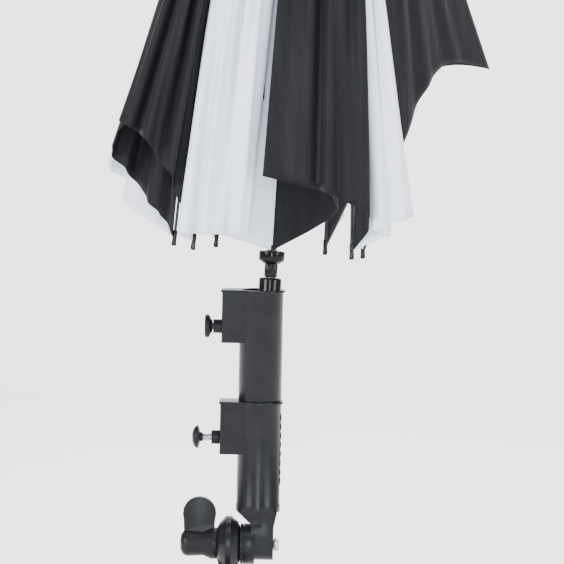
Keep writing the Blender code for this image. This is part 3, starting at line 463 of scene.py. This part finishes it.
def down_and_out(azimuth, angle):
    return outward(azimuth) * sin(angle) - np.array([0.0, 0.0, cos(angle)])


def rib_offset(share):
    return RIB_BOW * 4 * share * (1 - share) + ROOT_OFFSET * (1 - share)


def turn_about(axis, angles):
    """Rotation matrices about one axis, for an array of angles."""
    x, y, z = axis
    cross = np.array([[0, -z, y], [z, 0, -x], [-y, x, 0]])
    angles = np.asarray(angles, float)[..., None, None]
    return np.eye(3) + np.sin(angles) * cross + (1 - np.cos(angles)) * (cross @ cross)


# %% A smooth curve through a wall's points
def smooth_through(points, samples):
    """A natural cubic spline, sampled at equal steps along its length."""
    points = np.array(points, float)
    steps = np.linalg.norm(np.diff(points, axis=0), axis=1) ** 0.6
    knots = np.concatenate([[0], np.cumsum(steps)])
    count = len(points)
    matrix, right = np.eye(count), np.zeros((count, 2))
    for k in range(1, count - 1):
        matrix[k, k - 1: k + 2] = steps[k - 1], 2 * (steps[k - 1] + steps[k]), steps[k]
        slopes = (points[k + 1] - points[k]) / steps[k] - (points[k] - points[k - 1]) / steps[k - 1]
        right[k] = 6 * slopes
    bends = np.linalg.solve(matrix, right)
    at = np.linspace(0, knots[-1], 400)
    k = np.clip(np.searchsorted(knots, at, side="right") - 1, 0, count - 2)
    step, back, on = steps[k][:, None], (knots[k + 1] - at)[:, None], (at - knots[k])[:, None]
    curve = (bends[k] * back**3 + bends[k + 1] * on**3) / (6 * step)
    curve += (points[k] / step - bends[k] * step / 6) * back
    curve += (points[k + 1] / step - bends[k + 1] * step / 6) * on
    length = np.concatenate([[0], np.cumsum(np.linalg.norm(np.diff(curve, axis=0), axis=1))])
    even = np.linspace(0, length[-1], samples)
    return np.stack([np.interp(even, length, curve[:, i]) for i in (0, 1)], 1)


def panel_rib(gore, side):
    return gore if side == "a" else (gore + 1) % RIB_COUNT


def wall_curve(gore, side):
    rib = panel_rib(gore, side)
    _, azimuth, angle = GORE_FOLDS[gore]
    start = outward(rib_azimuth(rib))[:2] * LEVEL * np.tan(OPEN_ANGLE - rib_swing(rib))
    end = outward(radians(azimuth))[:2] * LEVEL * np.tan(radians(angle))
    return smooth_through([start, *WALLS[f"{gore + 1}{side}"][2], end], COLUMNS + 1)


def unit(vectors):
    return vectors / np.linalg.norm(vectors, axis=-1, keepdims=True)


# %% [markdown]
# ## How far the cloth would turn to open
# Each panel has a joint that turns its fold from the closed place to the open one. For points between
# the rib and the fold, a share of that angle is worked out. The right share puts the point where the flat,
# open gore has it, so it is looked up: every share is tried, and the one that lands nearest is kept
# and smoothed. The closed panel stays exactly as drawn; the shares are stored on it and dropped again.


# %% The open gore, and each point's share of the turn
EVEN_PULL = 0.015  # how firmly a share is drawn to an even spread over the panel
SMOOTHINGS = 12


def open_directions(gore, side):
    """Where each column of a panel points on the open canopy, as seen from the crown."""
    fold = GORE_FOLDS[gore][0]
    across = fold * across_panel if side == "a" else 1 - (1 - fold) * across_panel
    first = down_and_out(rib_azimuth(gore), OPEN_ANGLE)
    second = down_and_out(rib_azimuth((gore + 1) % RIB_COUNT), OPEN_ANGLE)
    return unit((1 - across)[:, None] * first + across[:, None] * second)


def turn_shares(gore, side, closed):
    joint = joints[f"canopy_{gore + 1}{side}_unfold"]
    rib = panel_rib(gore, side)
    axis = np.array(turn_to_umbrella @ Vector(joint["axis"]))
    trials = np.linspace(0, 1, 201)
    turns = turn_about(axis, trials * radians(joint["range_deg"][1]))
    on_rib = open_directions(gore, side) @ turn_about(rib_axis(rib), rib_swing(rib))
    missed = np.linalg.norm(np.einsum("wij,nj->nwi", turns, closed) - on_rib[:, None], axis=2)
    pull = EVEN_PULL * (trials[None] - across_panel[:, None])
    share = trials[(missed**2 + pull**2).argmin(1)]
    share[0], share[-1] = 0, 1
    for _ in range(SMOOTHINGS):
        share[1:-1] = (share[:-2] + 2 * share[1:-1] + share[2:]) / 4
    return share


def panel_width(gore, side):
    """The flat panel's width along the hem, from the rib to the fold."""
    fold = GORE_FOLDS[gore][0]
    whole = 2 * RIB_LENGTH * sin(OPEN_ANGLE) * sin(pi / RIB_COUNT)
    return whole * (fold if side == "a" else 1 - fold)


def hem_reach(gore, side):
    """Each column's length from the crown to the hem."""
    reach, climb, _ = WALLS[f"{gore + 1}{side}"]
    return reach + (RIB_LENGTH - reach) * (1 - across_panel) ** climb - hem_dip(gore)


def hem_dip(gore):
    """The hem of the gore that has slipped out to the side is cut a little hollow."""
    return (HEM_HOLLOW if gore == SLIPPED_GORE else 0.0) * np.sin(pi * across_panel)


# %% The closed panel
LEAST_CLOTH = 0.735  # creases deepen until a panel shows this share of its flat cut
CREASE_HEIGHTS = np.arange(0.0016, 0.0080, 0.0004)
LONG_CREASE = 0.062  # between the broad creases, and between the fine ones
SHORT_CREASE = 0.037
SHAFT_ROOM = 0.006  # the cloth's top is held this far from the shaft


def sheet_area(points):
    """The area of a grid of points."""
    down, over = np.diff(points, axis=0), np.diff(points, axis=1)
    upper = np.linalg.norm(np.cross(down[:, :-1], over[:-1]), axis=2).sum()
    lower = np.linalg.norm(np.cross(down[:, 1:], over[1:]), axis=2).sum()
    return (upper + lower) / 2


def flat_area(gore, side):
    """The area of the flat cut, from the open canopy, where the cloth lies flat."""
    reach = hem_reach(gore, side)
    return sheet_area(open_directions(gore, side)[None] * (down_panel[:, None] * reach)[..., None])


def creases(gore, side):
    """Small waves down the cloth, strongest half way across and faded out at the top."""
    phase = 1.7 * gore + (0.9 if side == "b" else 0.0)
    across = across_panel[None] * panel_width(gore, side)
    down = down_panel[:, None]
    wave = np.sin(2 * pi * across / LONG_CREASE + phase + 1.6 * np.sin(4 * down + phase))
    wave = wave + 0.6 * np.sin(2 * pi * across / SHORT_CREASE - 1.3 * phase + 2.5 * down)
    return wave * (np.sin(pi * across_panel) ** 1.6)[None] * np.clip(1.5 * down, 0, 1)


def panel_points(gore, side):
    """Closed points row by row from the crown down, and the share of the turn at each column."""
    curve = wall_curve(gore, side)
    closed = unit(np.column_stack([curve, np.full(len(curve), -LEVEL)]))
    points = closed[None] * (down_panel[:, None] * hem_reach(gore, side)[None])[..., None]
    azimuth = rib_azimuth(panel_rib(gore, side))
    angle = OPEN_ANGLE - rib_swing(panel_rib(gore, side))
    off_rib = outward(azimuth) * cos(angle) + np.array([0, 0, sin(angle)])
    near_rib = (1 - across_panel) ** 2 * (1 + 2 * across_panel)
    lift = (rib_offset(down_panel) + ABOVE_RIB)[:, None] * near_rib[None]
    points = points + lift[..., None] * off_rib
    along = np.gradient(curve, axis=0)
    normal = unit(np.column_stack([-along[:, 1], along[:, 0], np.zeros(len(curve))]))
    away = unit(np.column_stack([curve, np.zeros(len(curve))]))
    clear_shaft = SHAFT_ROOM * np.exp(-down_panel / 0.06)[:, None] * (1 - near_rib)[None]
    points = points + clear_shaft[..., None] * away[None]
    wave = creases(gore, side)[..., None] * normal[None]
    for height in CREASE_HEIGHTS:  # slack cloth gathers into deeper creases
        if sheet_area(points + height * wave) > LEAST_CLOTH * flat_area(gore, side):
            break
    return points + height * wave, turn_shares(gore, side, closed)


# %% [markdown]
# The mesh itself is a plain grid whose points are moved into place, then given the cloth's
# thickness. Its UV map is in metres: across from the rib's seam, and up from the hem.


# %% Make and hang every panel
def make_panel(gore, side):
    bpy.ops.object.select_all(action="DESELECT")
    bpy.ops.mesh.primitive_grid_add(x_subdivisions=COLUMNS, y_subdivisions=ROWS, size=1)
    piece = named(f"cloth_{gore + 1}{side}")
    mesh = piece.data
    points, share = panel_points(gore, side)
    world = points.reshape(-1, 3) @ np.array(to_world.to_3x3()).T + np.array(crown_centre)
    mesh.vertices.foreach_set("co", world.ravel().astype(np.float32))
    turn = mesh.attributes.new("turn", "FLOAT", "POINT")
    turn.data.foreach_set("value", np.tile(share, ROWS + 1).astype(np.float32))
    reach = hem_reach(gore, side)
    cloth = np.stack([
        (down_panel[:, None] * across_panel[None] * panel_width(gore, side)).ravel(),
        ((1 - down_panel)[:, None] * reach[None]).ravel(),
    ], 1)
    corner = np.zeros(len(mesh.loops), np.int32)
    mesh.loops.foreach_get("vertex_index", corner)
    mesh.uv_layers.active.data.foreach_set("uv", cloth[corner].ravel().astype(np.float32))
    mesh.update()
    if side == "b":
        mesh.flip_normals()
    wall = piece.modifiers.new("cloth", "SOLIDIFY")
    wall.thickness = CLOTH_WALL
    wall.offset = 0
    apply_modifiers(piece)
    bpy.ops.object.shade_smooth()
    return piece


def hang_panel(piece, gore, side):
    """The panel is baked in place, its stored turn shares are read and dropped, and the frame's panel node is
    hidden.
    """
    node = f"canopy_{gore + 1}{side}"
    share = np.zeros(len(piece.data.vertices), np.float32)
    piece.data.attributes["turn"].data.foreach_get("value", share)
    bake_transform(piece)
    piece.data.attributes.remove(piece.data.attributes["turn"])
    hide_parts(node)


for gore in range(RIB_COUNT):
    colour, slot = (black_cloth, "black_cloth") if gore % 2 == 0 else (white_cloth, "white_cloth")
    for side in "ab":
        panel = dress(make_panel(gore, side), colour)
        hang_panel(panel, gore, side)
print("canopy panels made:", 2 * RIB_COUNT)

# %% [markdown]
# ## Rib tips
# A glossy cap covers the end of every rib, where the cloth's corner is sewn on. All eight are the
# same turned shape, so one profile is spun eight times, each along its own rib.

# %% Eight glossy caps
CAP_LENGTH = 0.0093
CAP_R = 0.0025
BOW_SLOPE = (4 * RIB_BOW + ROOT_OFFSET) / RIB_LENGTH  # a bowed rib leans in at its tip
cap_profile = [(0, -0.007), (CAP_R - 0.0004, -0.007), (CAP_R, -0.0062), (CAP_R, -0.0004), (CAP_R - 0.0003, 0)]
cap_profile += [(CAP_R - 0.0003, CAP_LENGTH - 0.0030)]
cap_profile += arc(CAP_R - 0.0012, CAP_LENGTH - 0.0012, 0.0012, 0, 90, 4) + [(0, CAP_LENGTH)]
for rib in range(RIB_COUNT):
    angle = OPEN_ANGLE - rib_swing(rib)
    straight = down_and_out(rib_azimuth(rib), angle)
    off_rib = outward(rib_azimuth(rib)) * cos(angle) + np.array([0, 0, sin(angle)])
    direction = to_world.to_3x3() @ Vector(straight - BOW_SLOPE * off_rib).normalized()
    turn = direction.to_track_quat("Z", "Y").to_matrix().to_4x4()
    tip = crown_centre + to_world.to_3x3() @ Vector(straight) * RIB_LENGTH
    place = Matrix.Translation(tip) @ turn
    cap = smooth(turned(f"rib_cap_{rib + 1}", cap_profile, place, 20))
    dress(cap, fitting_plastic)
    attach(cap, f"rib_{rib + 1}")
print("rib caps made:", RIB_COUNT)

# %% [markdown]
# ## Pieces whose shape is already right
# Many hidden pieces have the right shape in the frame and only lack a finish. The frame's own meshes
# are never touched. Where an edge would look too sharp, a copy is merged, given soft edges and put in
# the node's place.


# %% Softened copies
def softened(node, body, material, width=0.0004, segments=2):
    """A merged copy of a node with rounded edges, standing in for it."""
    source = frame["nodes"][node]
    copy = bpy.data.objects.new(f"{node}_fine", source.data.copy())
    bpy.context.scene.collection.objects.link(copy)
    only(copy)
    bpy.ops.object.mode_set(mode="EDIT")
    bpy.ops.mesh.select_all(action="SELECT")
    bpy.ops.mesh.remove_doubles(threshold=2e-6)
    bpy.ops.mesh.dissolve_limited(angle_limit=radians(1.5))
    bpy.ops.object.mode_set(mode="OBJECT")
    if width:
        soften(copy, width, segments)
    else:
        smooth(copy)
    dress(copy, material)
    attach(copy, body)
    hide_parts(node)
    return copy


body_of = {node: body for body, nodes in record["behaviour"]["bodies"].items() for node in nodes}
finish_of_slot = {
    "holder_plastic": holder_plastic,
    "knob_plastic": knob_plastic,
    "rubber": rubber,
    "screw_steel": screw_steel,
    "shaft_steel": shaft_steel,
    "rib_steel": rib_steel,
    "fitting_plastic": fitting_plastic,
}
slot_of = {part["node"]: part["material_slot"] for part in record["subparts"]}
FINE = {node: 0.0004 for node in slot_of if not node.startswith("canopy")}
FINE.update({"release_collar": 0.0001, "serrated_washer": 0.0001, "saddle_liner": 0.0002})
for node, width in FINE.items():
    softened(node, body_of[node], finish_of_slot[slot_of[node]], width)
print("softened copies:", len(FINE))

# %% [markdown]
# ## Floor, light and camera
# The stage is plain: a pale floor that curves up behind, soft boxes at the sides and above, two tall
# strips in front whose reflections run down the round tubes, and a light for the sweep. A long
# lens stands at the height that shows the tubes' rims as thin ellipses.


# %% The stage
def make_stage():
    low = cad_box[0].z - 0.05
    bpy.ops.object.select_all(action="DESELECT")
    bpy.ops.mesh.primitive_plane_add(size=7, location=(0, 0, low))
    floor = named("floor")
    only(floor)
    bpy.ops.object.mode_set(mode="EDIT")
    bpy.ops.mesh.select_all(action="DESELECT")
    bpy.ops.object.mode_set(mode="OBJECT")
    for edge in floor.data.edges:
        ends = [floor.data.vertices[i].co.y for i in edge.vertices]
        edge.select = min(ends) > 0
    bpy.ops.object.mode_set(mode="EDIT")
    bpy.ops.mesh.select_mode(type="EDGE")
    bpy.ops.mesh.extrude_region_move(TRANSFORM_OT_translate={"value": (0, 0, 4)})
    bpy.ops.object.mode_set(mode="OBJECT")
    bevel = floor.modifiers.new("sweep", "BEVEL")
    bevel.width = 1.2
    bevel.segments = 24
    apply_modifiers(floor)
    bpy.ops.object.shade_smooth()
    paper = Finish("pale floor", (0.93, 0.93, 0.935), 0.9)
    shade = paper.ramp(paper.noise(3, 2), (0.92, 0.92, 0.925), (0.94, 0.94, 0.945))
    floor.data.materials.append(paper.finish(colour=shade))
    clear_from_behind(paper)


def clear_from_behind(paper):
    """The upright part of the sweep is see-through from its back, so the object shows from there."""
    geometry = paper.node("ShaderNodeNewGeometry")
    clear = paper.node("ShaderNodeBsdfTransparent")
    either = paper.node("ShaderNodeMixShader")
    paper.wire(geometry.outputs["Backfacing"], either.inputs["Fac"])
    paper.wire(paper.shader.outputs["BSDF"], either.inputs[1])
    paper.wire(clear.outputs["BSDF"], either.inputs[2])
    paper.wire(either.outputs["Shader"], paper.tree.nodes["Material Output"].inputs["Surface"])


def soft_light(name, place, width, height, power, colour=(1, 1, 1), aim=(0.05, 0, 0.4)):
    """A rectangular soft box that faces the object."""
    bpy.ops.object.light_add(type="AREA", location=place)
    light = bpy.context.object
    light.name = name
    light.data.shape = "RECTANGLE"
    light.data.size = width
    light.data.size_y = height
    light.data.energy = power
    light.data.color = colour
    light.rotation_euler = (Vector(aim) - Vector(place)).to_track_quat("-Z", "Y").to_euler()


COOL = (0.84, 0.91, 1.0)
make_stage()
soft_light("left light", (-1.5, -1.3, 0.9), 0.8, 0.8, 50)
soft_light("right light", (1.9, -1.3, 0.8), 0.6, 0.8, 30)
soft_light("top light", (0.2, -0.8, 2.7), 1.6, 1.6, 50)
soft_light("front strip", (-0.02, -3.3, 0.55), 0.22, 1.8, 80, COOL)
soft_light("side strip", (2.2, -2.4, 0.55), 0.16, 1.8, 26, COOL)
soft_light("back light", (0.3, 1.0, 2.8), 2.2, 2.2, 230, aim=(0.05, 2.4, 0.5))
world = bpy.data.worlds.new("room")
world.use_nodes = True
world.node_tree.nodes["Background"].inputs["Color"].default_value = (0.95, 0.96, 1.0, 1)
world.node_tree.nodes["Background"].inputs["Strength"].default_value = 0.55
bpy.context.scene.world = world

# %% The camera
VIEW_DISTANCE = 2.5
VIEW_HEIGHT = radians(4)
VIEW_WIDTH = 0.5866
HOLDER_LEAN = radians(1.1)
aim = Vector((TUBE_X + 0.0208, 0, tube_top + 0.0083))
bpy.ops.object.camera_add()
camera = bpy.context.object
camera.location = aim + Vector((0, -cos(VIEW_HEIGHT), sin(VIEW_HEIGHT))) * VIEW_DISTANCE
look = (aim - camera.location).to_track_quat("-Z", "Y").to_matrix().to_4x4()
camera.rotation_euler = (look @ Matrix.Rotation(HOLDER_LEAN, 4, "Z")).to_euler()
camera.data.sensor_width = 36
camera.data.lens = 36 * VIEW_DISTANCE / VIEW_WIDTH
bpy.context.scene.camera = camera
